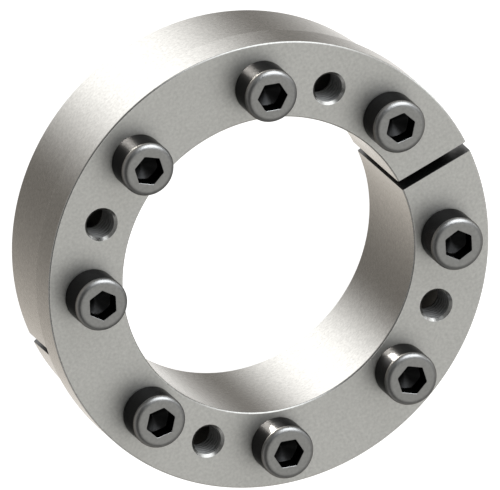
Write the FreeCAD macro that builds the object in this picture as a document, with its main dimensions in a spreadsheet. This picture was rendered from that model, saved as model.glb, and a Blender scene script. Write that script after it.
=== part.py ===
import FreeCAD, Part
import os
import Sketcher

# Shaft locking assembly: a slit, flanged inner ring and a slit outer ring meet on a slender
# taper, and eight socket head cap screws draw them together between a shaft and a hub.
# Millimetres. The axis is Z, with the screw heads up. Z = 0 is the outer ring's rear face
# as delivered, before the screws are tightened, and the flange's slit points along +X.

SIZES = [
    ("shaft_dia", 90, "bore of the flanged ring"),
    ("radial_depth", 20, "from the shaft's radius to the hub's radius"),
    ("flange_overhang", 3, "how far the flange stands out over the hub's edge"),
    ("flange_thick", 11, "thickness of the flange"),
    ("flange_gap", 3.5, "open gap between flange and outer ring as delivered"),
    ("ring_length", 24.5, "length of the outer ring"),
    ("sleeve_end_wall", 1.7, "wall of the sleeve at its thin rear end"),
    ("cone_rise", 0.07, "radial rise of the taper for each mm of length"),
    ("seat_clearance", 0.035, "radial clearance left on the taper when drawn up"),
    ("draw_up", 1.5, "travel of the flange towards the outer ring when tightened"),
    ("slit_width", 3, "saw cut through each ring"),
    ("slit_overrun", 2, "how far the saw cut runs past the ring's walls"),
    ("undercut_length", 2, "grinding relief behind the flange"),
    ("undercut_depth", 0.4, "depth of that relief"),
    ("edge_break", 0.6, "chamfer on the outside edges of both rings"),
    ("bore_break", 0.4, "chamfer on the edges of both bores"),
    ("thin_break", 0.3, "chamfer on the outside of the sleeve's thin end"),
    ("hole_break", 0.3, "chamfer on the screw holes"),
    ("screw_count", 8, "clamp screws"),
    ("screw_land", 1.5, "wall between the taper's wide end and a tapped hole"),
    ("thread_dia", 10, "outside of the screw's thread"),
    ("thread_clearance", 0.05, "radial clearance between screw and tapped hole"),
    ("passage_clearance", 0.5, "radial clearance of the screw in the flange"),
    ("screw_length", 35, "screw below its head"),
    ("tip_break", 0.8, "chamfer on the screw's tip"),
    ("head_dia", 16, "screw head"),
    ("head_height", 10, "height of the screw head"),
    ("head_crown", 1.3, "rounding of the head's top edge"),
    ("seat_break", 0.4, "chamfer under the head's rim"),
    ("neck_fillet", 0.4, "fillet under the head"),
    ("socket_flats", 8, "hexagon socket across flats"),
    ("socket_depth", 5, "depth of the socket's flats"),
    ("socket_mouth_dia", 9.5, "lead-in cone at the socket's mouth"),
    ("jack_count", 4, "tapped jack holes"),
    ("jack_drill_dia", 8.5, "jack hole at the crests of its thread"),
    ("jack_mouth_dia", 10.2, "countersink of a jack hole"),
]

FULL_TURN = 360
COUNTERSINK_ANGLE = 90
HEXAGON_ANGLES = (30, 90, 150, 210, 270, 330)

# Radii, heights and slopes that follow from the sizes, as expressions for the sketches.
BORE_R = "(dims.shaft_dia / 2)"
RING_R = "(dims.shaft_dia / 2 + dims.radial_depth)"
FLANGE_R = f"({RING_R} + dims.flange_overhang)"
SLEEVE_END_R = f"({BORE_R} + dims.sleeve_end_wall)"
THREAD_R = "(dims.thread_dia / 2)"
TAPPED_R = "(dims.thread_dia / 2 + dims.thread_clearance)"
PASSAGE_R = "(dims.thread_dia / 2 + dims.passage_clearance)"
FLANGE_REAR = "(dims.ring_length + dims.flange_gap)"
FLANGE_FRONT = "(dims.ring_length + dims.flange_gap + dims.flange_thick)"
SCREW_PITCH_ANGLE = f"({FULL_TURN} / dims.screw_count)"
SOCKET_CONE_SLOPE = "tan(30)"


def sleeve_r(z):
    """Outside radius of the tapered sleeve at height z, an expression."""
    return f"({SLEEVE_END_R} + dims.cone_rise * ({z} - dims.draw_up))"


def socket_cone_r(z):
    """Radius of the outer ring's tapered bore at height z, an expression."""
    return f"({SLEEVE_END_R} + dims.cone_rise * ({z}) + dims.seat_clearance)"


SCREW_CIRCLE_R = f"({socket_cone_r('dims.ring_length')} + dims.screw_land + {TAPPED_R})"


def make_sheet(doc):
    """Put the driving sizes in a spreadsheet, one named cell each."""
    sheet = doc.addObject("Spreadsheet::Sheet", "dims")
    for row, (name, value, meaning) in enumerate(SIZES, start=1):
        sheet.set(f"A{row}", name)
        sheet.set(f"B{row}", str(value))
        sheet.set(f"C{row}", meaning)
        sheet.setAlias(f"B{row}", name)
    doc.recompute()
    return sheet


def new_body(doc, label):
    """Start a sub-part; its label names its file."""
    body = doc.addObject("PartDesign::Body", label)
    body.Label = label
    return body


def new_sketch(body, name, role, height=None):
    """Attach a sketch to one of the body's own planes, raised by an expression if given."""
    sketch = body.newObject("Sketcher::SketchObject", name)
    plane = next(item for item in body.Origin.OriginFeatures if item.Role == role)
    sketch.AttachmentSupport = [(plane, "")]
    sketch.MapMode = "FlatFace"
    if height is not None:
        sketch.setExpression("AttachmentOffset.Base.z", height)
    return sketch


def pin_point(sketch, geometry, position, x, y):
    """Hold a point of a sketch at the expressions x and y."""
    for kind, axis, expression in (("DistanceX", -2, x), ("DistanceY", -1, y)):
        if expression == "0":
            sketch.addConstraint(Sketcher.Constraint("PointOnObject", geometry, position, axis))
            continue
        value = float(sketch.evalExpression(expression))
        constraint = Sketcher.Constraint(kind, -1, 1, geometry, position, value)
        index = sketch.addConstraint(constraint)
        sketch.setExpression(f"Constraints[{index}]", expression)


def draw_outline(sketch, corners):
    """Draw a closed outline through corners given as pairs of expressions."""
    points = []
    for x, y in corners:
        across = float(sketch.evalExpression(x))
        along = float(sketch.evalExpression(y))
        points.append(FreeCAD.Vector(across, along, 0))
    count = len(points)
    for index in range(count):
        sketch.addGeometry(Part.LineSegment(points[index], points[(index + 1) % count]), False)
    for index in range(count):
        following = (index + 1) % count
        sketch.addConstraint(Sketcher.Constraint("Coincident", index, 2, following, 1))
    for index, (x, y) in enumerate(corners):
        pin_point(sketch, index, 1, x, y)


def turn(body, kind, name, corners):
    """Revolve an outline of (radius, height) corners about the body's Z axis."""
    sketch = new_sketch(body, f"{name}_outline", "XZ_Plane")
    draw_outline(sketch, corners)
    feature = body.newObject(f"PartDesign::{kind}", name)
    feature.Profile = sketch
    feature.ReferenceAxis = (sketch, ["V_Axis"])
    feature.Angle = FULL_TURN
    return feature


def cut_slit(body, name, inner_x, outer_x):
    """Saw a radial slit through a ring, between two x positions and through all its length."""
    half = "dims.slit_width / 2"
    sketch = new_sketch(body, f"{name}_outline", "XY_Plane")
    corners = [
        (inner_x, f"-{half}"),
        (outer_x, f"-{half}"),
        (outer_x, half),
        (inner_x, half),
    ]
    draw_outline(sketch, corners)
    slit = body.newObject("PartDesign::Pocket", name)
    slit.Profile = sketch
    slit.Type = "ThroughAll"
    slit.Reversed = True
    return slit


def drill_circle(body, name, height, start_angle, count, diameter, mouth_diameter):
    """Drill one through hole with a chamfered mouth and repeat it round the Z axis."""
    sketch = new_sketch(body, f"{name}_centre", "XY_Plane", height)
    x = f"{SCREW_CIRCLE_R} * cos({start_angle})"
    y = f"{SCREW_CIRCLE_R} * sin({start_angle})"
    centre_x = float(sketch.evalExpression(x))
    centre_y = float(sketch.evalExpression(y))
    radius = float(sketch.evalExpression(diameter)) / 2
    centre = FreeCAD.Vector(centre_x, centre_y, 0)
    sketch.addGeometry(Part.Circle(centre, FreeCAD.Vector(0, 0, 1), radius), False)
    pin_point(sketch, 0, 3, x, y)
    index = sketch.addConstraint(Sketcher.Constraint("Diameter", 0, 2 * radius))
    sketch.setExpression(f"Constraints[{index}]", diameter)
    body.Document.recompute()
    hole = body.newObject("PartDesign::Hole", name)
    hole.Profile = sketch
    hole.DepthType = "ThroughAll"
    hole.HoleCutType = "Countersink"
    hole.HoleCutCountersinkAngle = COUNTERSINK_ANGLE
    hole.setExpression("Diameter", diameter)
    hole.setExpression("HoleCutDiameter", mouth_diameter)
    body.Document.recompute()
    pattern = body.newObject("PartDesign::PolarPattern", f"{name}_pattern")
    pattern.Originals = [hole]
    pattern.Axis = (sketch, ["N_Axis"])
    pattern.Angle = FULL_TURN
    pattern.setExpression("Occurrences", count)
    body.Tip = pattern
    return pattern


def make_flanged_ring(doc):
    """Flange and tapered sleeve in one piece, slit from the bore to the rim."""
    body = new_body(doc, "flanged_inner_ring")
    cone_end = f"({FLANGE_REAR} - dims.undercut_length)"
    relief_r = f"({sleeve_r(cone_end)} - dims.undercut_depth)"
    thin_z = "(dims.draw_up + dims.thin_break)"
    turn(body, "Revolution", "flanged_blank", [
        (f"{BORE_R} + dims.bore_break", "dims.draw_up"),
        (f"{SLEEVE_END_R} - dims.thin_break", "dims.draw_up"),
        (sleeve_r(thin_z), thin_z),
        (sleeve_r(cone_end), cone_end),
        (relief_r, f"{cone_end} + dims.undercut_depth"),
        (relief_r, FLANGE_REAR),
        (f"{FLANGE_R} - dims.edge_break", FLANGE_REAR),
        (FLANGE_R, f"{FLANGE_REAR} + dims.edge_break"),
        (FLANGE_R, f"{FLANGE_FRONT} - dims.edge_break"),
        (f"{FLANGE_R} - dims.edge_break", FLANGE_FRONT),
        (f"{BORE_R} + dims.bore_break", FLANGE_FRONT),
        (BORE_R, f"{FLANGE_FRONT} - dims.bore_break"),
        (BORE_R, "dims.draw_up + dims.bore_break"),
    ])
    cut_slit(body, "flange_slit", f"{BORE_R} - dims.slit_overrun", f"{FLANGE_R} + dims.slit_overrun")
    passage_dia = f"2 * {PASSAGE_R}"
    drill_circle(body, "screw_passage", FLANGE_FRONT, f"{SCREW_PITCH_ANGLE} / 2", "dims.screw_count",
                 passage_dia, f"{passage_dia} + 2 * dims.hole_break")
    drill_circle(body, "jack_hole", FLANGE_FRONT, SCREW_PITCH_ANGLE, "dims.jack_count",
                 "dims.jack_drill_dia", "dims.jack_mouth_dia")
    return body


def make_outer_ring(doc):
    """Cylinder for the hub with a tapered bore, slit opposite the flange's slit."""
    body = new_body(doc, "outer_ring")
    front = "dims.ring_length"
    front_break = f"({front} - dims.bore_break)"
    turn(body, "Revolution", "outer_blank", [
        (f"{socket_cone_r('0')} + dims.bore_break", "0"),
        (f"{RING_R} - dims.edge_break", "0"),
        (RING_R, "dims.edge_break"),
        (RING_R, f"{front} - dims.edge_break"),
        (f"{RING_R} - dims.edge_break", front),
        (f"{socket_cone_r(front)} + dims.bore_break", front),
        (socket_cone_r(front_break), front_break),
        (socket_cone_r("dims.bore_break"), "dims.bore_break"),
    ])
    cut_slit(body, "outer_slit", f"-({RING_R} + dims.slit_overrun)",
             f"-({socket_cone_r('0')} - dims.slit_overrun)")
    tapped_dia = f"2 * {TAPPED_R}"
    drill_circle(body, "tapped_hole", front, f"{SCREW_PITCH_ANGLE} / 2", "dims.screw_count",
                 tapped_dia, f"{tapped_dia} + 2 * dims.hole_break")
    return body


def circle_edges(feature, radius, height):
    """Names of a feature's full round edges of one radius at one height."""
    names = []
    for number, edge in enumerate(feature.Shape.Edges, start=1):
        if not isinstance(edge.Curve, Part.Circle) or not edge.isClosed():
            continue
        same_radius = abs(edge.Curve.Radius - radius) < 1e-6
        same_height = abs(edge.Curve.Center.z - height) < 1e-6
        if same_radius and same_height:
            names.append(f"Edge{number}")
    return names


def round_edge(body, name, base, radius_at, height, fillet):
    """Round one circular edge of the base feature; all three sizes are expressions."""
    body.Document.recompute()
    edge_r = float(base.evalExpression(radius_at))
    edge_z = float(base.evalExpression(height))
    feature = body.newObject("PartDesign::Fillet", name)
    feature.Base = (base, circle_edges(base, edge_r, edge_z))
    feature.setExpression("Radius", fillet)
    return feature


def make_screw(doc, number):
    """Socket head cap screw; its own origin is under the head, and X points off the ring's axis."""
    body = new_body(doc, f"clamp_screw_{number}")
    head_r = "(dims.head_dia / 2)"
    top = "dims.head_height"
    tip = "-dims.screw_length"
    blank = turn(body, "Revolution", f"screw_blank_{number}", [
        ("0", tip),
        (f"{THREAD_R} - dims.tip_break", tip),
        (THREAD_R, f"{tip} + dims.tip_break"),
        (THREAD_R, "0"),
        (f"{head_r} - dims.seat_break", "0"),
        (head_r, "dims.seat_break"),
        (head_r, top),
        ("0", top),
    ])
    crown = round_edge(body, f"crown_{number}", blank, head_r, top, "dims.head_crown")
    round_edge(body, f"neck_{number}", crown, THREAD_R, "0", "dims.neck_fillet")

    hexagon = new_sketch(body, f"hexagon_{number}", "XY_Plane", top)
    corner_r = "dims.socket_flats / sqrt(3)"
    corners = []
    for angle in HEXAGON_ANGLES:
        across = "0" if angle in (90, 270) else f"{corner_r} * cos({angle})"
        corners.append((across, f"{corner_r} * sin({angle})"))
    draw_outline(hexagon, corners)
    socket = body.newObject("PartDesign::Pocket", f"socket_{number}")
    socket.Profile = hexagon
    socket.setExpression("Length", "dims.socket_depth")

    # The drilled point under the hexagon and the lead-in at its mouth are both 120 degree cones.
    floor = f"({top} - dims.socket_depth)"
    turn(body, "Groove", f"socket_point_{number}", [
        ("0", floor),
        ("dims.socket_flats / 2", floor),
        ("0", f"{floor} - dims.socket_flats / 2 * {SOCKET_CONE_SLOPE}"),
    ])
    turn(body, "Groove", f"socket_mouth_{number}", [
        ("0", top),
        ("dims.socket_mouth_dia / 2", top),
        ("0", f"{top} - dims.socket_mouth_dia / 2 * {SOCKET_CONE_SLOPE}"),
    ])

    angle = f"(({number} - 0.5) * {SCREW_PITCH_ANGLE})"
    body.Placement = FreeCAD.Placement(FreeCAD.Vector(), FreeCAD.Rotation(FreeCAD.Vector(0, 0, 1), 1))
    body.setExpression("Placement.Base.x", f"{SCREW_CIRCLE_R} * cos({angle})")
    body.setExpression("Placement.Base.y", f"{SCREW_CIRCLE_R} * sin({angle})")
    body.setExpression("Placement.Base.z", FLANGE_FRONT)
    body.setExpression("Placement.Rotation.Angle", angle)
    return body


def check_document(doc, bodies):
    """Stop on a failed feature, a bad shape or a cut that removed nothing."""
    for item in doc.Objects:
        if "Invalid" in item.State or "Error" in item.State:
            raise RuntimeError(f"{item.Label} failed: {item.State}")
    for body in bodies:
        if body.Shape.isNull() or not body.Shape.isValid() or len(body.Shape.Solids) != 1:
            raise RuntimeError(f"{body.Label} isn't one valid solid")
        for feature in body.Group:
            if feature.TypeId in ("PartDesign::Pocket", "PartDesign::Hole", "PartDesign::Groove"):
                if feature.Shape.Volume >= feature.BaseFeature.Shape.Volume:
                    raise RuntimeError(f"{feature.Label} cut nothing")


def main():
    """Build the assembly and write one STEP file for each sub-part."""
    doc = FreeCAD.newDocument("shaft_locking_assembly")
    sheet = make_sheet(doc)
    bodies = [make_flanged_ring(doc), make_outer_ring(doc)]
    for number in range(1, int(sheet.screw_count) + 1):
        bodies.append(make_screw(doc, number))
    doc.recompute()
    check_document(doc, bodies)
    os.makedirs("parts", exist_ok=True)
    for body in bodies:
        body.Shape.exportStep(f"parts/{body.Label}.step")
        box = body.Shape.BoundBox
        print(f"{body.Label}: {body.Shape.Volume:.1f} mm3, z {box.ZMin:.3f} to {box.ZMax:.3f}")


main()
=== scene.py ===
"""Dresses a keyless shaft locking assembly: two slit steel rings on a taper and eight cap screws.

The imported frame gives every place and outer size. The rings and screws are modelled again here
with the rounded edges and the cut threads that the plain solids leave out, and each surface gets
the lay of the tool that made it. Lengths on the rings, holes and screws are millimetres, and
those in the studio are metres.
"""

import logging
import math
from collections.abc import Callable
from dataclasses import dataclass, field
from enum import Enum

import bmesh
import bpy
from mathutils import Matrix, Vector

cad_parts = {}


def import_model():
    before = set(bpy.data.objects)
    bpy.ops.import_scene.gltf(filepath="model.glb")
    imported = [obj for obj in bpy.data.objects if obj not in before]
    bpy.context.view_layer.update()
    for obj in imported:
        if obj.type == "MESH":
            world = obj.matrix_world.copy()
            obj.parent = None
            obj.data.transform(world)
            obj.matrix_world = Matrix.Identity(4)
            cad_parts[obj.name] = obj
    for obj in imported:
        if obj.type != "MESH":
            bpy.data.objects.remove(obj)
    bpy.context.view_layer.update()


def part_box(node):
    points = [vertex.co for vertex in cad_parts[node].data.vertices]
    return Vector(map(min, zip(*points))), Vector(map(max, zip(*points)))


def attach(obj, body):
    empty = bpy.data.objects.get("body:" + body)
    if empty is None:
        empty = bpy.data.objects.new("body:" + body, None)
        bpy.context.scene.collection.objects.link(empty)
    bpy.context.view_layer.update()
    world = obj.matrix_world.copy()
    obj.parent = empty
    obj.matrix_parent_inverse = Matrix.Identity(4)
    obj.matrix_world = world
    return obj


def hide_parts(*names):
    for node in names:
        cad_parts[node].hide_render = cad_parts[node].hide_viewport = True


LOG = logging.getLogger("shaft_locking_assembly")

MM = 0.001
JOIN = 0.001 * MM
FULL_TURN = 2 * math.pi

SCREWS = 8
SCREW_CIRCLE_R = 55.0
SLIT_WIDTH = 3.0
CONE_RISE = 0.07
SOFTENING = 0.09

THREAD_PITCH = 1.5
THREAD_DATUM = 0.4
THREAD_START_SLOPE = 1.5
HOLE_SEGMENTS = 64

CELLS = 16
CELL_ANGLE = FULL_TURN / CELLS
CELL_COLUMNS = 20
CELL_ROWS = 12
FACE_BORDER = 0.5
JACK_CELLS = (2, 6, 10, 14)

FLAT_NORMAL = 0.99
CORNER_ANGLE = 20.0
HOLE_SURROUND_R = 7.0
RING_SHARP_ANGLE = 8.0
SCREW_SHARP_ANGLE = 38.0

LINE_SCALE = 3200.0
MOTTLING_SCALE = 70.0
FLECK_SCALE = 1100.0


class Lay(Enum):
    """Direction in which a cutting tool left its marks."""

    FACED = "rings about the axis on a flat face"
    TURNED = "rings along the axis on a round wall"
    SAWN = "level lines on the walls of a slit"


class Skin(Enum):
    """Material slot of each kind of surface on a ring."""

    FACE = 0
    WALL = 1
    CUT = 2
    HOLE = 3


class ScrewSkin(Enum):
    """Material slot of each kind of surface on a screw."""

    TOP = 0
    SIDE = 1
    SOCKET = 2


@dataclass(frozen=True)
class Thread:
    """Helical thread: a crest and a root flat joined by two flanks."""

    inner_r: float
    outer_r: float
    inner_flat: float
    outer_flat: float

    def outline(self) -> list[tuple[float, float]]:
        """Draw one pitch of the thread.

        Returns:
            Corners as (radius, height); the last repeats the first a pitch higher.
        """
        flank = (THREAD_PITCH - self.inner_flat - self.outer_flat) / 2
        low = -self.outer_flat / 2
        return [
            (self.outer_r, low),
            (self.outer_r, low + self.outer_flat),
            (self.inner_r, low + self.outer_flat + flank),
            (self.inner_r, low + self.outer_flat + flank + self.inner_flat),
            (self.outer_r, low + THREAD_PITCH),
        ]


JACK_THREAD = Thread(inner_r=4.25, outer_r=5.0, inner_flat=0.36, outer_flat=0.2)
NUT_THREAD = Thread(inner_r=4.3, outer_r=5.05, inner_flat=0.3, outer_flat=0.3)
SCREW_THREAD = Thread(inner_r=4.1, outer_r=4.96, inner_flat=0.3, outer_flat=0.2)


@dataclass(frozen=True)
class Hole:
    """Hole through a ring's two faces, parallel to its axis."""

    angle: float
    circle_r: float
    front_r: float
    bore_r: float
    rear_r: float
    thread: Thread | None = None

    def mouth_depth(self) -> float:
        """Depth of the front mouth's cone, in millimetres."""
        return self.front_r - self.bore_r

    def centre(self) -> Vector:
        """Place of the hole's axis, in metres."""
        return Matrix.Rotation(self.angle, 3, "Z") @ Vector((self.circle_r * MM, 0.0, 0.0))


def new_piece(name: str, bm: bmesh.types.BMesh, materials: list[bpy.types.Material],
              sharp_angle: float = 30.0) -> bpy.types.Object:
    """Turn finished mesh data into a piece of the scene.

    Args:
        name: Name of the piece.
        bm: Mesh data in metres, in the frame's coordinates; it is freed.
        materials: Materials in slot order.
        sharp_angle: Edges that turn by more than this many degrees stay sharp.

    Returns:
        The new object, at the origin.
    """
    bmesh.ops.recalc_face_normals(bm, faces=bm.faces)
    mesh = bpy.data.meshes.new(name)
    bm.to_mesh(mesh)
    bm.free()
    mesh.shade_smooth()
    mesh.set_sharp_from_angle(angle=math.radians(sharp_angle))
    for material in materials:
        mesh.materials.append(material)
    piece = bpy.data.objects.new(name, mesh)
    bpy.context.scene.collection.objects.link(piece)
    shading = piece.modifiers.new("even_shading", "WEIGHTED_NORMAL")
    shading.keep_sharp = True
    return piece


def join_part(bm: bmesh.types.BMesh, part: bmesh.types.BMesh) -> None:
    """Add a part that was made on its own to the mesh data.

    Args:
        bm: Mesh data that receives the part.
        part: The part; it is freed.
    """
    mesh = bpy.data.meshes.new("part")
    part.to_mesh(mesh)
    part.free()
    bm.from_mesh(mesh)
    bpy.data.meshes.remove(mesh)


def spin_outline(corners: list[tuple[float, float]], steps: int, climb: float = 0.0
                 ) -> bmesh.types.BMesh:
    """Spin an open outline once about the Z axis.

    Args:
        corners: Corners as (radius, height) in millimetres.
        steps: Columns round the full turn.
        climb: Rise over the turn in millimetres; without one the surface closes on itself.

    Returns:
        New mesh data with the surface.
    """
    bm = bmesh.new()
    verts = [bm.verts.new((r * MM, 0.0, z * MM)) for r, z in corners]
    edges = [bm.edges.new(pair) for pair in zip(verts, verts[1:])]
    bmesh.ops.spin(bm, geom=verts + edges, cent=(0, 0, 0), axis=(0, 0, 1), angle=FULL_TURN,
                   dvec=(0, 0, climb * MM / steps), steps=steps, use_merge=climb == 0)
    return bm


def cut_thread(centre: Vector, thread: Thread, low: float, high: float,
               limit: Callable[[float, float], float]) -> bmesh.types.BMesh:
    """Wind a thread's surface about a vertical axis and close each of its ends to a circle.

    Every winding starts from the same datum height, so that a screw's crests lie in the roots of
    its hole.

    Args:
        centre: A point on the thread's axis, in metres.
        thread: Section of the thread.
        low: Height of the lower end in millimetres.
        high: Height of the upper end in millimetres.
        limit: Gives the radius to use from a winding's radius and height.

    Returns:
        New mesh data with the thread.
    """
    start = THREAD_DATUM + (math.floor((low - THREAD_DATUM) / THREAD_PITCH) - 1) * THREAD_PITCH
    turns = math.ceil((high - start) / THREAD_PITCH) + 1
    wound = spin_outline(thread.outline(), HOLE_SEGMENTS, THREAD_PITCH)
    bmesh.ops.translate(wound, verts=wound.verts, vec=(0, 0, start * MM))
    first = wound.verts[:] + wound.edges[:] + wound.faces[:]
    for lap in range(1, turns):
        copied = bmesh.ops.duplicate(wound, geom=first)["geom"]
        verts = [item for item in copied if isinstance(item, bmesh.types.BMVert)]
        bmesh.ops.translate(wound, verts=verts, vec=(0, 0, lap * THREAD_PITCH * MM))
    for vert in wound.verts:
        radius = math.hypot(vert.co.x, vert.co.y)
        height = min(max(vert.co.z / MM, low), high)
        scale = limit(radius / MM, height) * MM / radius
        vert.co = (vert.co.x * scale, vert.co.y * scale, height * MM)
    bmesh.ops.remove_doubles(wound, verts=wound.verts, dist=JOIN)
    bmesh.ops.translate(wound, verts=wound.verts, vec=centre)
    return wound


def edges_at(verts: list[bmesh.types.BMVert]) -> list[bmesh.types.BMEdge]:
    """Edges that end at any of the vertices, each once."""
    return list(dict.fromkeys(edge for vert in verts for edge in vert.link_edges))


def draw_on(bm: bmesh.types.BMesh, edges: list[bmesh.types.BMEdge]
            ) -> tuple[list[bmesh.types.BMVert], list[bmesh.types.BMEdge], list[bmesh.types.BMFace]]:
    """Extrude a loop of edges, which leaves the new loop in the old one's place.

    Args:
        bm: Mesh data that holds the loop.
        edges: The loop's edges.

    Returns:
        The new loop's vertices, its edges, and the faces that join it to the old loop.
    """
    drawn = bmesh.ops.extrude_edge_only(bm, edges=edges)["geom"]
    return ([item for item in drawn if isinstance(item, bmesh.types.BMVert)],
            [item for item in drawn if isinstance(item, bmesh.types.BMEdge)],
            [item for item in drawn if isinstance(item, bmesh.types.BMFace)])


@dataclass
class SlitRing:
    """A turned ring with drilled flat faces and one saw cut, built from its half section.

    Each hole is centred in its own cell of the faces.
    """

    holes: list[Hole]
    slit_angle: float
    slit_width: float
    bm: bmesh.types.BMesh = field(default_factory=bmesh.new)

    def hole_circle(self, hole: Hole, radius: float, height: float) -> list[bmesh.types.BMVert]:
        """Draw one circle about a hole's axis.

        Args:
            hole: The hole.
            radius: Radius in millimetres.
            height: Height in millimetres.

        Returns:
            The circle's vertices.
        """
        place = Matrix.Translation(hole.centre() + Vector((0.0, 0.0, height * MM)))
        circle = bmesh.ops.create_circle(self.bm, segments=HOLE_SEGMENTS, radius=radius * MM,
                                         matrix=place)
        return circle["verts"]

    def face_cell(self, index: int, inner_r: float, outer_r: float, height: float,
                  hole: Hole | None, mouth_r: float) -> None:
        """Fill one sector of a flat face, round a hole's mouth if it has one.

        Args:
            index: Number of the sector, counted from the +X axis.
            inner_r: Inside radius of the face in millimetres.
            outer_r: Outside radius of the face in millimetres.
            height: Height of the face in millimetres.
            hole: Hole in this sector.
            mouth_r: Radius of the hole's mouth at this face in millimetres.
        """
        verts = bmesh.ops.create_grid(self.bm, x_segments=CELL_ROWS, y_segments=CELL_COLUMNS,
                                      size=0.5)["verts"]
        for vert in verts:
            reach = inner_r + (outer_r - inner_r) * (vert.co.x + 0.5)
            angle = (index + vert.co.y) * CELL_ANGLE
            vert.co = (reach * MM * math.cos(angle), reach * MM * math.sin(angle), height * MM)
        if hole is None:
            return
        rim = [edge for edge in edges_at(verts) if edge.is_boundary]
        inside = [vert for vert in verts if not vert.is_boundary]
        faces = list(dict.fromkeys(face for vert in verts for face in vert.link_faces))
        bmesh.ops.delete(self.bm, geom=faces, context="FACES_ONLY")
        bmesh.ops.delete(self.bm, geom=inside, context="VERTS")
        mouth = self.hole_circle(hole, mouth_r, height)
        bmesh.ops.bridge_loops(self.bm, edges=rim + edges_at(mouth))

    def flat_face(self, inner_r: float, outer_r: float, height: float, is_front: bool) -> None:
        """Lay a whole drilled face, sector by sector.

        Args:
            inner_r: Inside radius in millimetres.
            outer_r: Outside radius in millimetres.
            height: Height in millimetres.
            is_front: Whether the holes show their front mouths here.
        """
        self.turned_wall([(inner_r, height), (inner_r + FACE_BORDER, height)])
        self.turned_wall([(outer_r - FACE_BORDER, height), (outer_r, height)])
        inner_r += FACE_BORDER
        outer_r -= FACE_BORDER
        by_cell = {round(hole.angle / CELL_ANGLE): hole for hole in self.holes}
        for index in range(CELLS):
            hole = by_cell.get(index)
            mouth_r = 0.0 if hole is None else (hole.front_r if is_front else hole.rear_r)
            self.face_cell(index, inner_r, outer_r, height, hole, mouth_r)

    def turned_wall(self, corners: list[tuple[float, float]]) -> None:
        """Turn one open stretch of the ring's section.

        Args:
            corners: Corners as (radius, height) in millimetres.
        """
        join_part(self.bm, spin_outline(corners, CELLS * CELL_COLUMNS))

    def drill(self, rear: float, front: float) -> None:
        """Line every hole from the rear face to the front face, threaded where it has a thread.

        Args:
            rear: Height of the rear face in millimetres.
            front: Height of the front face in millimetres.
        """
        for hole in self.holes:
            low = rear + hole.rear_r - hole.bore_r
            high = front - hole.mouth_depth()
            if hole.thread is None:
                levels = ((hole.rear_r, rear), (hole.bore_r, low), (hole.bore_r, high),
                          (hole.front_r, front))
                self.line_hole(hole, list(dict.fromkeys(levels)))
                continue
            self.line_hole(hole, [(hole.rear_r, rear), (hole.bore_r, low)])
            self.line_hole(hole, [(hole.bore_r, high), (hole.front_r, front)])
            join_part(self.bm, cut_thread(
                hole.centre(), hole.thread, low, high, lambda r, z, hole=hole, low=low, high=high: min(
                    r, hole.bore_r + THREAD_START_SLOPE * min(high - z, z - low))))

    def line_hole(self, hole: Hole, levels: list[tuple[float, float]]) -> None:
        """Wall a plain hole by drawing its rear circle up through the levels.

        Args:
            hole: The hole.
            levels: Radius and height of each circle in millimetres, from the rear to the front.
        """
        radius, height = levels[0]
        edges = edges_at(self.hole_circle(hole, radius, height))
        for next_radius, height in levels[1:]:
            verts, edges, _ = draw_on(self.bm, edges)
            for vert in verts:
                arm = vert.co - hole.centre()
                arm.z = 0.0
                vert.co = hole.centre() + arm * (next_radius / radius)
                vert.co.z = height * MM
            radius = next_radius

    def saw_slit(self) -> None:
        """Part the ring at the slit, draw its two sides apart and close both cut ends."""
        bmesh.ops.remove_doubles(self.bm, verts=self.bm.verts, dist=JOIN)
        turn = Matrix.Rotation(-self.slit_angle, 3, "Z")
        bmesh.ops.rotate(self.bm, verts=self.bm.verts, cent=(0, 0, 0), matrix=turn)
        seam = [edge for edge in self.bm.edges
                if all(abs(vert.co.y) < JOIN and vert.co.x > 0 for vert in edge.verts)]
        bmesh.ops.split_edges(self.bm, edges=seam)
        half_cell = CELL_ANGLE / 2
        for vert in self.bm.verts:
            side = 1.0 if vert.link_faces[0].calc_center_median().y > 0 else -1.0
            angle = abs(math.atan2(vert.co.y, vert.co.x))
            if angle > half_cell:
                continue
            reach = math.hypot(vert.co.x, vert.co.y)
            opened = math.asin(self.slit_width / 2 * MM / reach)
            angle = side * (opened + angle * (half_cell - opened) / half_cell)
            vert.co.x, vert.co.y = reach * math.cos(angle), reach * math.sin(angle)
        for side in (1.0, -1.0):
            lips = [edge for edge in self.bm.edges
                    if edge.is_boundary and edge.verts[0].co.y * side > 0]
            for face in bmesh.ops.contextual_create(self.bm, geom=lips)["faces"]:
                # The cut ends take the slit's skin, whose dark tone is painted shade.
                face.material_index = Skin.CUT.value
        bmesh.ops.rotate(self.bm, verts=self.bm.verts, cent=(0, 0, 0), matrix=turn.inverted())

    def paint_skins(self, rear: float, front: float) -> None:
        """Give flat faces, round walls, holes and saw cuts their own material slots.

        Args:
            rear: Height of the rear face in millimetres.
            front: Height of the front face in millimetres.
        """
        for face in self.bm.faces:
            if face.material_index == Skin.CUT.value:
                continue
            middle = face.calc_center_median()
            skin = Skin.FACE if abs(face.normal.z) > FLAT_NORMAL else Skin.WALL
            face.material_index = skin.value
            for hole in self.holes:
                away = middle - hole.centre()
                within = math.hypot(away.x, away.y) < max(hole.front_r, hole.rear_r) * MM
                # Hole walls below the mouth cone take the hole skin, whose darker tone is painted
                # shade.
                if within and rear * MM < middle.z < (front - hole.mouth_depth()) * MM:
                    face.material_index = Skin.HOLE.value

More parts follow.
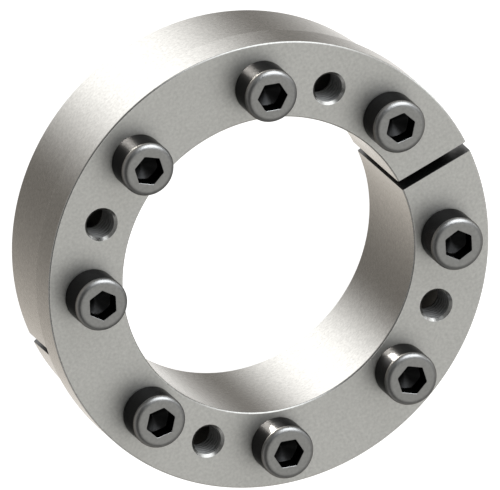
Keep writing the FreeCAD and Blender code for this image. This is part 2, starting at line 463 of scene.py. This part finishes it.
    def soften(self, offset: float) -> None:
        """Round the turned corners and the lips of the slit a little.

        Args:
            offset: Width of the rounding in millimetres.
        """
        bmesh.ops.recalc_face_normals(self.bm, faces=self.bm.faces)
        centres = [hole.centre() for hole in self.holes]
        corners = []
        for edge in self.bm.edges:
            if not edge.is_manifold or edge.calc_face_angle() < math.radians(CORNER_ANGLE):
                continue
            middle = (edge.verts[0].co + edge.verts[1].co) / 2
            near = min(math.hypot(middle.x - centre.x, middle.y - centre.y) for centre in centres)
            if near > HOLE_SURROUND_R * MM:
                corners.append(edge)
        bmesh.ops.bevel(self.bm, geom=corners, offset=offset * MM, offset_type="OFFSET", segments=2,
                        profile=0.5, affect="EDGES", clamp_overlap=True, material=-1)


@dataclass
class FlangedRing:
    """Inner ring: a thick slit flange with a thin tapered sleeve behind it."""

    front: float
    sleeve_rear: float
    flange_r: float
    bore_r: float = 45.0
    flange_thick: float = 11.0
    screw_circle_r: float = SCREW_CIRCLE_R
    sleeve_end_wall: float = 1.7
    cone_rise: float = CONE_RISE
    undercut_length: float = 2.0
    undercut_depth: float = 0.4
    edge_break: float = 0.35
    bore_break: float = 0.35
    thin_break: float = 0.3
    slit_width: float = SLIT_WIDTH
    passage_r: float = 5.5
    hole_break: float = 0.3
    jack_mouth_r: float = 5.05
    jack_rear_r: float = 5.0
    softening: float = SOFTENING

    def holes(self) -> list[Hole]:
        """Place the flange's holes.

        Returns:
            The eight screw passages, then the four tapped jack holes between them.
        """
        passages = [Hole((2 * index + 1) * CELL_ANGLE, self.screw_circle_r,
                         self.passage_r + self.hole_break, self.passage_r, self.passage_r)
                    for index in range(SCREWS)]
        jacks = [Hole(cell * CELL_ANGLE, self.screw_circle_r, self.jack_mouth_r,
                      JACK_THREAD.inner_r, self.jack_rear_r, JACK_THREAD) for cell in JACK_CELLS]
        return passages + jacks

    def build(self, materials: list[bpy.types.Material]) -> bpy.types.Object:
        """Model the ring.

        Args:
            materials: Finishes for faces, walls, cuts and holes.

        Returns:
            The finished piece.
        """
        rear = self.front - self.flange_thick
        cone_end = rear - self.undercut_length
        sleeve_r = self.bore_r + self.sleeve_end_wall
        cone_r = sleeve_r + self.cone_rise * (cone_end - self.sleeve_rear)
        thin_r = sleeve_r + self.cone_rise * self.thin_break
        relief_r = cone_r - self.undercut_depth
        rim_r = self.flange_r - self.edge_break
        lip_r = self.bore_r + self.bore_break
        ring = SlitRing(self.holes(), 0.0, self.slit_width)
        ring.flat_face(lip_r, rim_r, self.front, True)
        ring.flat_face(relief_r, rim_r, rear, False)
        ring.turned_wall([(rim_r, self.front), (self.flange_r, self.front - self.edge_break),
                          (self.flange_r, rear + self.edge_break), (rim_r, rear)])
        ring.turned_wall([(lip_r, self.front), (self.bore_r, self.front - self.bore_break),
                          (self.bore_r, self.sleeve_rear + self.bore_break),
                          (lip_r, self.sleeve_rear),
                          (sleeve_r - self.thin_break, self.sleeve_rear),
                          (thin_r, self.sleeve_rear + self.thin_break), (cone_r, cone_end),
                          (relief_r, cone_end + self.undercut_depth), (relief_r, rear)])
        ring.drill(rear, self.front)
        ring.saw_slit()
        ring.soften(self.softening)
        ring.paint_skins(rear, self.front)
        return new_piece("flanged_ring_turned", ring.bm, materials, RING_SHARP_ANGLE)


@dataclass
class OuterRing:
    """Outer ring: a cylinder for the hub with a tapered bore and tapped holes."""

    length: float
    ring_r: float = 65.0
    small_bore_r: float = 46.735
    cone_rise: float = CONE_RISE
    screw_circle_r: float = SCREW_CIRCLE_R
    edge_break: float = 0.6
    bore_break: float = 0.4
    slit_width: float = SLIT_WIDTH
    mouth_r: float = 5.35
    softening: float = SOFTENING

    def build(self, materials: list[bpy.types.Material]) -> bpy.types.Object:
        """Model the ring.

        Args:
            materials: Finishes for faces, walls, cuts and holes.

        Returns:
            The finished piece.
        """
        holes = [Hole((2 * index + 1) * CELL_ANGLE, self.screw_circle_r, self.mouth_r,
                      NUT_THREAD.inner_r, self.mouth_r, NUT_THREAD) for index in range(SCREWS)]
        large_bore_r = self.small_bore_r + self.cone_rise * self.length
        rim_r = self.ring_r - self.edge_break
        ring = SlitRing(holes, math.pi, self.slit_width)
        ring.flat_face(large_bore_r + self.bore_break, rim_r, self.length, True)
        ring.flat_face(self.small_bore_r + self.bore_break, rim_r, 0.0, False)
        ring.turned_wall([(rim_r, self.length), (self.ring_r, self.length - self.edge_break),
                          (self.ring_r, self.edge_break), (rim_r, 0.0)])
        ring.turned_wall([(large_bore_r + self.bore_break, self.length),
                          (large_bore_r, self.length - self.bore_break),
                          (self.small_bore_r, self.bore_break),
                          (self.small_bore_r + self.bore_break, 0.0)])
        ring.drill(0.0, self.length)
        ring.saw_slit()
        ring.soften(self.softening)
        ring.paint_skins(0.0, self.length)
        return new_piece("outer_ring_turned", ring.bm, materials, RING_SHARP_ANGLE)


@dataclass
class CapScrew:
    """Hexagon socket head cap screw, modelled where it stands."""

    number: int
    seat: float
    circle_r: float = SCREW_CIRCLE_R
    head_r: float = 8.0
    head_height: float = 10.0
    crown: float = 1.7
    crown_steps: int = 6
    top_border: float = 0.15
    seat_break: float = 0.4
    neck_fillet: float = 0.4
    fillet_sag: float = 0.3
    neck_r: float = 4.9
    neck_length: float = 1.0
    shank_length: float = 35.0
    tip_r: float = 4.1
    socket_flats: float = 8.0
    socket_depth: float = 5.0
    mouth_break: float = 0.08
    drill_angle: float = 30.0
    drill_inset: float = 0.02
    centre_mark_r: float = 0.3

    def angle(self) -> float:
        """Direction from the ring's axis to the screw."""
        return (2 * self.number - 1) * CELL_ANGLE

    def axis_point(self) -> Vector:
        """Point on the screw's axis at height 0, in metres."""
        return Matrix.Rotation(self.angle(), 3, "Z") @ Vector((self.circle_r * MM, 0.0, 0.0))

    def hexagon_r(self, angle: float) -> float:
        """Reach of the hexagon's outline in one direction.

        Args:
            angle: Direction in the world; the hexagon's flats face along the ring's radius.

        Returns:
            The reach in millimetres.
        """
        sector = FULL_TURN / 6
        within = (angle - self.angle() + sector / 2) % sector - sector / 2
        return self.socket_flats / 2 / math.cos(within)

    def rings(self) -> list[tuple[ScrewSkin, Callable[[float], tuple[float, float]]]]:
        """Shape the head as rings from the socket's centre to the neck.

        Returns:
            For each ring the skin that leads up to it, and its radius and height by direction.
        """
        top = self.seat + self.head_height
        floor = top - self.socket_depth
        slope = math.tan(math.radians(self.drill_angle))
        drill_r = self.socket_flats / 2
        mark_r = self.centre_mark_r
        crown_r = self.head_r - self.crown
        crown_low = top - self.crown
        neck_top = self.seat - self.neck_fillet
        sag = self.neck_fillet * self.fillet_sag
        made = [
            (ScrewSkin.SOCKET, lambda a: (mark_r, floor - (drill_r - mark_r) * slope)),
            (ScrewSkin.SOCKET, lambda a: (drill_r - self.drill_inset, floor)),
            (ScrewSkin.SOCKET, lambda a: (self.hexagon_r(a), floor)),
            (ScrewSkin.SOCKET, lambda a: (self.hexagon_r(a), top - self.mouth_break)),
            (ScrewSkin.TOP, lambda a: (self.hexagon_r(a) + self.mouth_break, top)),
            (ScrewSkin.TOP, lambda a: (crown_r - self.top_border, top)),
        ]
        for step in range(self.crown_steps + 1):
            tilt = math.radians(90) * step / self.crown_steps
            arc = (crown_r + self.crown * math.sin(tilt), crown_low + self.crown * math.cos(tilt))
            made.append((ScrewSkin.TOP, lambda a, arc=arc: arc))
        lower = [(self.head_r, self.seat + self.seat_break), (self.head_r - self.seat_break, self.seat),
                 (self.neck_r + self.neck_fillet, self.seat), (self.neck_r + sag, self.seat - sag),
                 (self.neck_r, neck_top), (self.neck_r, neck_top - self.neck_length)]
        made += [(ScrewSkin.SIDE, lambda a, corner=corner: corner) for corner in lower]
        return made

    def build(self, materials: list[bpy.types.Material]) -> bpy.types.Object:
        """Model the screw.

        Args:
            materials: Finishes for the head's top, the sides and the socket.

        Returns:
            The finished piece.
        """
        bm = bmesh.new()
        axis = self.axis_point()
        verts = bmesh.ops.create_circle(bm, cap_ends=True, segments=HOLE_SEGMENTS, radius=MM,
                                        matrix=Matrix.Translation(axis))["verts"]
        edges = edges_at(verts)
        faces = list(bm.faces)
        for index, (skin, ring) in enumerate(self.rings()):
            if index:
                verts, edges, faces = draw_on(bm, edges)
            for face in faces:
                face.material_index = skin.value
            for vert in verts:
                angle = math.atan2(vert.co.y - axis.y, vert.co.x - axis.x)
                radius, height = ring(angle)
                vert.co = (axis.x + radius * MM * math.cos(angle),
                           axis.y + radius * MM * math.sin(angle), height * MM)
        tip = self.seat - self.shank_length
        thread_top = self.seat - self.neck_fillet - self.neck_length
        thread = cut_thread(axis, SCREW_THREAD, tip, thread_top,
                            lambda r, z: min(max(r, self.neck_r - (thread_top - z)) if z < thread_top
                                             else self.neck_r, self.tip_r + z - tip))
        for face in thread.faces:
            face.material_index = ScrewSkin.SIDE.value
        join_part(bm, thread)
        bmesh.ops.remove_doubles(bm, verts=bm.verts, dist=JOIN)
        bmesh.ops.holes_fill(bm, edges=[edge for edge in bm.edges if edge.is_boundary], sides=0)
        return new_piece(f"cap_screw_{self.number}", bm, materials, SCREW_SHARP_ANGLE)


def add_group(name: str, outputs: dict[str, str], inputs: dict[str, str]
              ) -> tuple[bpy.types.NodeTree, bpy.types.Node, bpy.types.Node]:
    """Start a shader node group.

    Args:
        name: Name of the group.
        outputs: Socket type of each output, by name.
        inputs: Socket type of each input, by name; every material gives its own values.

    Returns:
        The group's tree, its input node and its output node.
    """
    tree = bpy.data.node_groups.new(name, "ShaderNodeTree")
    for label, kind in outputs.items():
        tree.interface.new_socket(name=label, in_out="OUTPUT", socket_type=kind)
    for label, kind in inputs.items():
        tree.interface.new_socket(name=label, in_out="INPUT", socket_type=kind)
    return tree, tree.nodes.new("NodeGroupInput"), tree.nodes.new("NodeGroupOutput")


def add_math(tree: bpy.types.NodeTree, operation: str, first: bpy.types.NodeSocket | float,
             second: bpy.types.NodeSocket | float = 0.0) -> bpy.types.NodeSocket:
    """Add a math node.

    Args:
        tree: Tree that receives the node.
        operation: Name of the operation.
        first: First value or socket.
        second: Second value or socket.

    Returns:
        The node's result.
    """
    node = tree.nodes.new("ShaderNodeMath")
    node.operation = operation
    for socket, value in zip(node.inputs, (first, second)):
        if isinstance(value, bpy.types.NodeSocket):
            tree.links.new(value, socket)
        else:
            socket.default_value = value
    return node.outputs["Value"]


def add_noise(tree: bpy.types.NodeTree, place: bpy.types.NodeSocket, scale: float, detail: float
              ) -> bpy.types.NodeSocket:
    """Add a noise texture with a value of about 0.5.

    Args:
        tree: Tree that receives the node.
        place: Coordinates in metres.
        scale: Cells in a metre.
        detail: Octaves.

    Returns:
        The noise's value.
    """
    noise = tree.nodes.new("ShaderNodeTexNoise")
    noise.inputs["Scale"].default_value = scale
    noise.inputs["Detail"].default_value = detail
    tree.links.new(place, noise.inputs["Vector"])
    return noise.outputs["Fac"]


def add_tool_marks_group() -> bpy.types.NodeTree:
    """Make the group that draws matte grain, the lines of a lay, mottling and flecks.

    Returns:
        The group's tree.
    """
    tree, entry, leave = add_group(
        "tool_marks",
        {"Height": "NodeSocketFloat", "Mottling": "NodeSocketFloat", "Flecks": "NodeSocketFloat"},
        {"Place": "NodeSocketVector", "Across": "NodeSocketFloat",
         "Grain scale": "NodeSocketFloat", "Line strength": "NodeSocketFloat"})
    place = entry.outputs["Place"]
    grain = tree.nodes.new("ShaderNodeTexNoise")
    grain.inputs["Detail"].default_value = 3.0
    tree.links.new(place, grain.inputs["Vector"])
    tree.links.new(entry.outputs["Grain scale"], grain.inputs["Scale"])
    lines = tree.nodes.new("ShaderNodeTexNoise")
    lines.noise_dimensions = "1D"
    lines.inputs["Scale"].default_value = LINE_SCALE
    lines.inputs["Detail"].default_value = 2.0
    tree.links.new(entry.outputs["Across"], lines.inputs["W"])
    drawn = add_math(tree, "MULTIPLY", lines.outputs["Fac"], entry.outputs["Line strength"])
    height = add_math(tree, "ADD", grain.outputs["Fac"], drawn)
    tree.links.new(height, leave.inputs["Height"])
    tree.links.new(add_noise(tree, place, MOTTLING_SCALE, 3.0), leave.inputs["Mottling"])
    tree.links.new(add_noise(tree, place, FLECK_SCALE, 3.0), leave.inputs["Flecks"])
    return tree


@dataclass(frozen=True)
class SteelFinish:
    """One steel surface: grain scale in cells a metre, grain depth in millimetres."""

    name: str
    lay: Lay | None
    colour: tuple[float, float, float]
    roughness: float
    grain_scale: float
    grain_depth: float
    line_strength: float
    mottling: float = 0.06
    fleck: float = 0.2
    edge: float = 1.0

    def make(self, marks: bpy.types.NodeTree) -> bpy.types.Material:
        """Build the material.

        Args:
            marks: The shared group that draws grain and lines.

        Returns:
            The material.
        """
        material = bpy.data.materials.new(self.name)
        material.use_nodes = True
        tree = material.node_tree
        shader = tree.nodes["Principled BSDF"]
        shader.inputs["Metallic"].default_value = 1.0
        shader.inputs["Specular Tint"].default_value = (self.edge, self.edge, self.edge, 1.0)
        where = tree.nodes.new("ShaderNodeTexCoord").outputs["Object"]
        group = tree.nodes.new("ShaderNodeGroup")
        group.node_tree = marks
        group.inputs["Grain scale"].default_value = self.grain_scale
        group.inputs["Line strength"].default_value = self.line_strength
        tree.links.new(where, group.inputs["Place"])
        if self.lay is not None:
            tree.links.new(self.across(tree, where), group.inputs["Across"])
        bump = tree.nodes.new("ShaderNodeBump")
        bump.inputs["Distance"].default_value = self.grain_depth * MM
        tree.links.new(group.outputs["Height"], bump.inputs["Height"])
        tree.links.new(bump.outputs["Normal"], shader.inputs["Normal"])
        centred = add_math(tree, "SUBTRACT", group.outputs["Mottling"], 0.5)
        spread = add_math(tree, "MULTIPLY", centred, self.mottling)
        tree.links.new(add_math(tree, "ADD", spread, self.roughness), shader.inputs["Roughness"])
        tone = tree.nodes.new("ShaderNodeMix")
        tone.data_type = "RGBA"
        tone.inputs["A"].default_value = (*(part * (1 - self.fleck) for part in self.colour), 1.0)
        tone.inputs["B"].default_value = (*(part * (1 + self.fleck) for part in self.colour), 1.0)
        tree.links.new(group.outputs["Flecks"], tone.inputs["Factor"])
        tree.links.new(tone.outputs["Result"], shader.inputs["Base Color"])
        return material

    def across(self, tree: bpy.types.NodeTree, where: bpy.types.NodeSocket) -> bpy.types.NodeSocket:
        """Give the coordinate that counts the tool's lines.

        Args:
            tree: The material's tree.
            where: Object coordinates.

        Returns:
            Radius for a faced surface, and height for a turned or a sawn one.
        """
        parts = tree.nodes.new("ShaderNodeSeparateXYZ")
        tree.links.new(where, parts.inputs["Vector"])
        if self.lay is not Lay.FACED:
            return parts.outputs["Z"]
        square_x = add_math(tree, "MULTIPLY", parts.outputs["X"], parts.outputs["X"])
        square_y = add_math(tree, "MULTIPLY", parts.outputs["Y"], parts.outputs["Y"])
        return add_math(tree, "SQRT", add_math(tree, "ADD", square_x, square_y))


STEEL_TONE = (0.66, 0.655, 0.63)
# Painted shade: the outer ring's flat faces show only down the jack holes and the flange's slit. Their
# dark tone stands in for the shade there.
FACE_SHADE_TONE = (0.11, 0.108, 0.103)
# Painted shade: the slit's walls are painted far darker than the turned steel, for the shade inside the
# narrow slit. Their lines and roughness are the saw's.
SLIT_SHADE_TONE = (0.19, 0.19, 0.19)
# Painted shade: the hole linings below the mouth cones are painted darker than the turned steel, for
# the shade down the holes.
HOLE_SHADE_TONE = (0.38, 0.38, 0.375)
# Painted light and shade: each head's top and crown are painted about four times lighter than its
# sides. They are a lit copy and a shaded copy of one black oxide.
LIT_TOP_OXIDE_TONE = (0.295, 0.293, 0.285)
OXIDE_TONE = (0.075, 0.075, 0.076)
# Painted shade: the hexagon sockets are painted darker than the rest of the oxide, for the shade inside
# them.
SOCKET_SHADE_TONE = (0.035, 0.035, 0.035)

FACED_STEEL = SteelFinish("faced_steel", Lay.FACED, STEEL_TONE, 0.52, 2600.0, 0.02, 0.25)
SHADED_FACE_STEEL = SteelFinish("painted_shade_face_steel", Lay.FACED, FACE_SHADE_TONE, 0.36, 2600.0, 0.02, 0.25)
TURNED_STEEL = SteelFinish("turned_steel_wall", Lay.TURNED, STEEL_TONE, 0.24, 2600.0, 0.006, 0.8,
                           fleck=0.24)
SAWN_SHADED_STEEL = SteelFinish("sawn_steel_painted_shade", Lay.SAWN, SLIT_SHADE_TONE, 0.4, 1800.0, 0.02, 1.0, edge=0.4)
TAPPED_SHADED_STEEL = SteelFinish("tapped_steel_painted_shade", None, HOLE_SHADE_TONE, 0.5, 2600.0, 0.01, 0.0)
OXIDE_TOP = SteelFinish("oxide_top", None, LIT_TOP_OXIDE_TONE, 0.4, 3000.0, 0.01, 0.0, edge=0.35)
OXIDE_SIDE = SteelFinish("oxide_side", None, OXIDE_TONE, 0.25, 3000.0, 0.01, 0.0, edge=0.4)
OXIDE_SOCKET = SteelFinish("oxide_socket", None, SOCKET_SHADE_TONE, 0.35, 3000.0, 0.01, 0.0, edge=0.3)
RING_FINISHES = (TURNED_STEEL, SAWN_SHADED_STEEL, TAPPED_SHADED_STEEL)
OXIDE_FINISHES = (OXIDE_TOP, OXIDE_SIDE, OXIDE_SOCKET)

WHITE = (1.0, 1.0, 1.0)
WARM = (1.0, 0.93, 0.85)


def sky_direction(azimuth: float, elevation: float) -> Vector:
    """Unit vector towards a place in the sky, given in degrees."""
    across, up = math.radians(azimuth), math.radians(elevation)
    return Vector((math.cos(up) * math.cos(across), math.cos(up) * math.sin(across), math.sin(up)))


@dataclass(frozen=True)
class SkyPatch:
    """Round soft light at infinity, seen only in reflections; its angles are in degrees."""

    azimuth: float
    elevation: float
    inner: float
    outer: float
    level: float
    tint: tuple[float, float, float] = WHITE


AMBIENT = 0.5
FLOOR_GAP = 0.1 * MM
FLOOR_SIZE = 4.0
FLOOR_TONE = 0.5
FLOOR_GLOW = 0.95
CAMERA_DISTANCE = 1.0
# The screws on whose sides the photo shows a warm glint.
GLINT_SCREWS = (2, 3, 6, 7)
SKY_STOPS = ((-90, 0.19), (-45, 0.19), (-27, 0.55), (4, 0.5), (20, 0.18), (42, 0.08), (62, 0.06),
             (90, 0.08))
SKY = [
    SkyPatch(80, -62, 3, 33, 1.65),
    SkyPatch(303, -62, 0, 32, 0.9),
    SkyPatch(255, -62, 0, 42, 0.5, WARM),
    SkyPatch(-70, 66, 14, 48, 0.78, (1.0, 1.0, 0.97)),
    SkyPatch(-25, 30, 10, 50, 0.3),
    SkyPatch(42, 27, 12, 44, 1.6, (0.94, 0.97, 1.0)),
    SkyPatch(-8, 3, 4, 14, 1.2, (0.9, 0.95, 1.0)),
]


@dataclass(frozen=True)
class Lamp:
    """Round lamp aimed at the origin; size in metres and energy in watts."""

    name: str
    place: Vector
    size: float
    energy: float
    colour: tuple[float, float, float]


OVERHEAD = Lamp("overhead", Vector((0.1, -0.3, 0.8)), 0.5, 2.0, WHITE)
CROWN_LIGHT = Lamp("crown_light", sky_direction(42, 27) * 0.6, 0.6, 3.2, (0.9, 0.94, 1.0))
GLINT = Lamp("glint", sky_direction(84, -62) * 0.6, 0.13, 4.4, (1.0, 0.95, 0.87))


class Studio:
    """White studio: a bright sky with soft patches, a floor, the lamps and the camera."""

    def __init__(self) -> None:
        """Use the scene that is open."""
        self.scene = bpy.context.scene

    def light_sky(self) -> None:
        """Build the world: white to the camera, plain to matte rays, bands and patches to shine."""
        world = bpy.data.worlds.new("studio_sky")
        self.scene.world = world
        world.use_nodes = True
        tree = world.node_tree
        background = tree.nodes["Background"]
        direction = tree.nodes.new("ShaderNodeTexCoord").outputs["Generated"]
        parts = tree.nodes.new("ShaderNodeSeparateXYZ")
        tree.links.new(direction, parts.inputs["Vector"])
        place = tree.nodes.new("ShaderNodeMapRange")
        place.inputs["From Min"].default_value = -1.0
        tree.links.new(parts.outputs["Z"], place.inputs["Value"])
        ramp = tree.nodes.new("ShaderNodeValToRGB")
        ramp.color_ramp.interpolation = "EASE"
        tree.links.new(place.outputs["Result"], ramp.inputs["Fac"])
        stops = ramp.color_ramp.elements
        while len(stops) < len(SKY_STOPS):
            stops.new(0.5)
        for stop, (elevation, level) in zip(stops, SKY_STOPS):
            stop.position = (math.sin(math.radians(elevation)) + 1) / 2
            tint = WARM if elevation < 0 else WHITE
            stop.color = (*(level * part for part in tint), 1.0)
        total = ramp.outputs["Color"]
        for patch in SKY:
            total = self.add_patch(tree, direction, patch, total)
        path = tree.nodes.new("ShaderNodeLightPath")
        mix = tree.nodes.new("ShaderNodeMix")
        mix.data_type = "RGBA"
        tree.links.new(path.outputs["Is Diffuse Ray"], mix.inputs["Factor"])
        tree.links.new(total, mix.inputs["A"])
        mix.inputs["B"].default_value = (AMBIENT, AMBIENT, AMBIENT, 1.0)
        seen = tree.nodes.new("ShaderNodeMix")
        seen.data_type = "RGBA"
        tree.links.new(path.outputs["Is Camera Ray"], seen.inputs["Factor"])
        tree.links.new(mix.outputs["Result"], seen.inputs["A"])
        seen.inputs["B"].default_value = (*WHITE, 1.0)
        tree.links.new(seen.outputs["Result"], background.inputs["Color"])

    def add_patch(self, tree: bpy.types.NodeTree, direction: bpy.types.NodeSocket, patch: SkyPatch,
                  below: bpy.types.NodeSocket) -> bpy.types.NodeSocket:
        """Add one soft patch to the sky.

        Args:
            tree: The world's tree.
            direction: Direction looked at.
            patch: The patch.
            below: Colour so far.

        Returns:
            The colour with the patch added.
        """
        dot = tree.nodes.new("ShaderNodeVectorMath")
        dot.operation = "DOT_PRODUCT"
        dot.inputs[1].default_value = sky_direction(patch.azimuth, patch.elevation)
        tree.links.new(direction, dot.inputs[0])
        ramp = tree.nodes.new("ShaderNodeMapRange")
        ramp.interpolation_type = "SMOOTHSTEP"
        ramp.inputs["From Min"].default_value = math.radians(patch.inner)
        ramp.inputs["From Max"].default_value = math.radians(patch.outer)
        ramp.inputs["To Min"].default_value = patch.level
        ramp.inputs["To Max"].default_value = 0.0
        cosine = add_math(tree, "MINIMUM", dot.outputs["Value"], 1.0)
        tree.links.new(add_math(tree, "ARCCOSINE", cosine), ramp.inputs["Value"])
        scaled = tree.nodes.new("ShaderNodeVectorMath")
        scaled.operation = "SCALE"
        scaled.inputs[0].default_value = patch.tint
        tree.links.new(ramp.outputs["Result"], scaled.inputs["Scale"])
        added = tree.nodes.new("ShaderNodeVectorMath")
        added.operation = "ADD"
        tree.links.new(below, added.inputs[0])
        tree.links.new(scaled.outputs["Vector"], added.inputs[1])
        return added.outputs["Vector"]

    def lay_floor(self) -> None:
        """Lay a white floor that mirrored rays pass through and that is clear from below."""
        bm = bmesh.new()
        bmesh.ops.create_grid(bm, x_segments=1, y_segments=1, size=FLOOR_SIZE)
        material = bpy.data.materials.new("white_sweep")
        material.use_nodes = True
        tree = material.node_tree
        shader = tree.nodes["Principled BSDF"]
        shader.inputs["Base Color"].default_value = (FLOOR_TONE, FLOOR_TONE, FLOOR_TONE, 1.0)
        shader.inputs["Roughness"].default_value = 1.0
        shader.inputs["Specular IOR Level"].default_value = 0.0
        shader.inputs["Emission Color"].default_value = (*WHITE, 1.0)
        shader.inputs["Emission Strength"].default_value = FLOOR_GLOW
        clear = tree.nodes.new("ShaderNodeBsdfTransparent")
        side = tree.nodes.new("ShaderNodeNewGeometry")
        choice = tree.nodes.new("ShaderNodeMixShader")
        tree.links.new(side.outputs["Backfacing"], choice.inputs["Fac"])
        tree.links.new(shader.outputs["BSDF"], choice.inputs[1])
        tree.links.new(clear.outputs["BSDF"], choice.inputs[2])
        tree.links.new(choice.outputs["Shader"], tree.nodes["Material Output"].inputs["Surface"])
        floor = new_piece("floor", bm, [material])
        floor.location.z = -FLOOR_GAP
        floor.visible_glossy = False

    def hang(self, lamp: Lamp, caught_by: list[bpy.types.Object], alone: bool = False) -> None:
        """Hang one round lamp that shines at the part.

        Args:
            lamp: The lamp.
            caught_by: Pieces that catch the light; an empty list means everything.
            alone: Whether only the same pieces cast a shadow from it.
        """
        data = bpy.data.lights.new(lamp.name, "AREA")
        data.shape = "DISK"
        data.size = lamp.size
        data.energy = lamp.energy
        data.color = lamp.colour
        hung = bpy.data.objects.new(lamp.name, data)
        hung.location = lamp.place
        hung.rotation_euler = (-hung.location).to_track_quat("-Z", "Y").to_euler()
        hung.visible_camera = False
        self.scene.collection.objects.link(hung)
        if not caught_by:
            hung.visible_glossy = False
            return
        linked = bpy.data.collections.new(lamp.name)
        for piece in caught_by:
            linked.objects.link(piece)
        hung.light_linking.receiver_collection = linked
        if alone:
            hung.light_linking.blocker_collection = linked

    def place_camera(self) -> None:
        """Look down on the part as the photo does, without perspective."""
        right = Vector((0.8478, -0.3976, 0.3512))
        up = Vector((0.5059, 0.8050, -0.3100))
        back = Vector((-0.1594, 0.4404, 0.8835))
        aim = Vector((-1.725, 6.784, 35.307)) * MM
        data = bpy.data.cameras.new("camera")
        data.type = "ORTHO"
        data.ortho_scale = 0.14463
        data.clip_start = 0.01
        data.clip_end = 10.0
        camera = bpy.data.objects.new("camera", data)
        place = Matrix((right, up, back)).transposed().to_4x4()
        place.translation = aim + back * CAMERA_DISTANCE
        camera.matrix_world = place
        self.scene.collection.objects.link(camera)
        self.scene.camera = camera

    def build(self) -> None:
        """Set up all but the lamps, which are hung once the pieces that they light are there."""
        self.light_sky()
        self.lay_floor()
        self.place_camera()
        self.scene.view_settings.view_transform = "Standard"


def report(piece: bpy.types.Object) -> None:
    """Log a finished piece's name and how many faces it has."""
    LOG.info("%s: %d faces", piece.name, len(piece.data.polygons))


def main() -> None:
    """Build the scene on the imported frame."""
    logging.basicConfig(level=logging.INFO)
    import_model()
    marks = add_tool_marks_group()
    faced, shaded_face = FACED_STEEL.make(marks), SHADED_FACE_STEEL.make(marks)
    worked = [finish.make(marks) for finish in RING_FINISHES]
    oxide = [finish.make(marks) for finish in OXIDE_FINISHES]
    low, high = (Vector(corner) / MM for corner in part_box("flanged_inner_ring"))
    flanged = FlangedRing(high.z, low.z, high.y).build([faced, *worked])
    outer_high = Vector(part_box("outer_ring")[1]) / MM
    outer = OuterRing(outer_high.z).build([shaded_face, *worked])
    for piece, node in ((flanged, "flanged_inner_ring"), (outer, "outer_ring")):
        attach(piece, node)
        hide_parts(node)
        report(piece)
    screws = []
    for number in range(1, SCREWS + 1):
        node = f"clamp_screw_{number}"
        screw = CapScrew(number, high.z).build(oxide)
        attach(screw, node)
        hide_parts(node)
        report(screw)
        screws.append(screw)
    studio = Studio()
    studio.build()
    studio.hang(OVERHEAD, [])
    studio.hang(CROWN_LIGHT, screws)
    studio.hang(GLINT, [screws[number - 1] for number in GLINT_SCREWS], alone=True)


if __name__ == "__main__":
    main()
